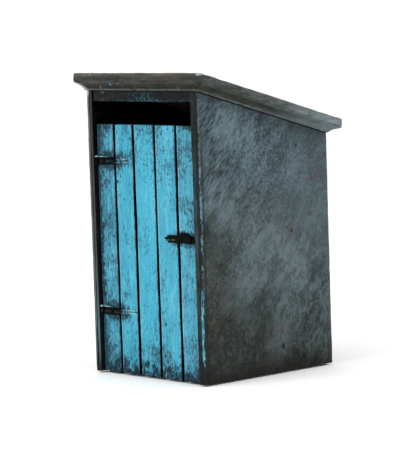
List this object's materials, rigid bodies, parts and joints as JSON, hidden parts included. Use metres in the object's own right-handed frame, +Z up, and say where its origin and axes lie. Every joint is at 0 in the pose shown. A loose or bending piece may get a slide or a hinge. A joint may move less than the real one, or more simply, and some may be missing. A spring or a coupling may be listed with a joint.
{
  "type": "book drop box",
  "caption": "Free-standing lean-to book drop box with a full-width deposit slot over a hinged plank door with a slide bolt, and a chute, floor mat and mitred eaves.",
  "frame": {"origin": "middle of the outline's bounding box, on the ground", "axes": "+Z up, -Y towards the door and slot, +X towards the latch side"},
  "size_m": [0.7, 0.716, 1.1185],
  "materials": {
    "body_paint": "dark green-grey paint over boards, dry-brushed and weathered, satin",
    "roof_paint": "dark olive-grey paint over boards, weathered, satin",
    "door_paint": "worn sky-blue paint with dark grain showing through",
    "inner_wood": "dark stained softwood, matt",
    "iron": "black iron, worn, with smears of door paint",
    "screw": "blackened steel",
    "mat": "matt ribbed rubber",
    "glide": "black plastic"
  },
  "bodies": {
    "case": {"back_panel": "body_paint", "chute_board": "inner_wood", "chute_cleat_left": "inner_wood", "chute_cleat_right": "inner_wood", "door_stop_left": "body_paint", "door_stop_right": "body_paint", "eave_mould_back": "roof_paint", "eave_mould_front": "roof_paint", "eave_mould_left": "roof_paint", "eave_mould_right": "roof_paint", "floor_bearer_back": "inner_wood", "floor_bearer_front": "inner_wood", "floor_bearer_middle": "inner_wood", "floor_mat": "mat", "floor_panel": "inner_wood", "front_post_left": "body_paint", "front_post_right": "body_paint", "glides": "glide", "header_rail": "body_paint", "hinge_leaf_lower": "iron", "hinge_leaf_upper": "iron", "hinge_pin_lower": "iron", "hinge_pin_upper": "iron", "leaf_screws": "screw", "rear_post_left": "inner_wood", "rear_post_right": "inner_wood", "roof_cleat_back": "inner_wood", "roof_cleat_left": "inner_wood", "roof_cleat_right": "inner_wood", "roof_panel": "roof_paint", "side_panel_left": "body_paint", "side_panel_right": "body_paint", "sill_rail": "inner_wood", "strike_plate": "screw", "strike_screws": "screw"},
    "door": {"door_brace_lower": "inner_wood", "door_brace_upper": "inner_wood", "door_ledge_bottom": "inner_wood", "door_ledge_middle": "inner_wood", "door_ledge_top": "inner_wood", "door_plank_1": "door_paint", "door_plank_2": "door_paint", "door_plank_3": "door_paint", "door_plank_4": "door_paint", "door_plank_5": "door_paint", "hinge_strap_lower": "iron", "hinge_strap_upper": "iron", "strap_screws": "screw", "ledge_screws": "screw", "brace_screws": "screw", "latch_plate": "iron", "latch_screws": "screw", "latch_guide": "iron", "latch_keeper": "iron"},
    "bolt": {"latch_bolt": "iron", "latch_tab": "iron"}
  },
  "joints": [
    {"name": "door_swing", "type": "hinge", "parent": "case", "child": "door", "pos_m": [-0.264, -0.3228, 0.5155], "axis": [0, 0, -1], "range_deg": [0, 120]},
    {"name": "bolt_slide", "type": "slide", "parent": "door", "child": "bolt", "axis": [1, 0, 0], "range_m": [0, 0.02]}
  ]
}
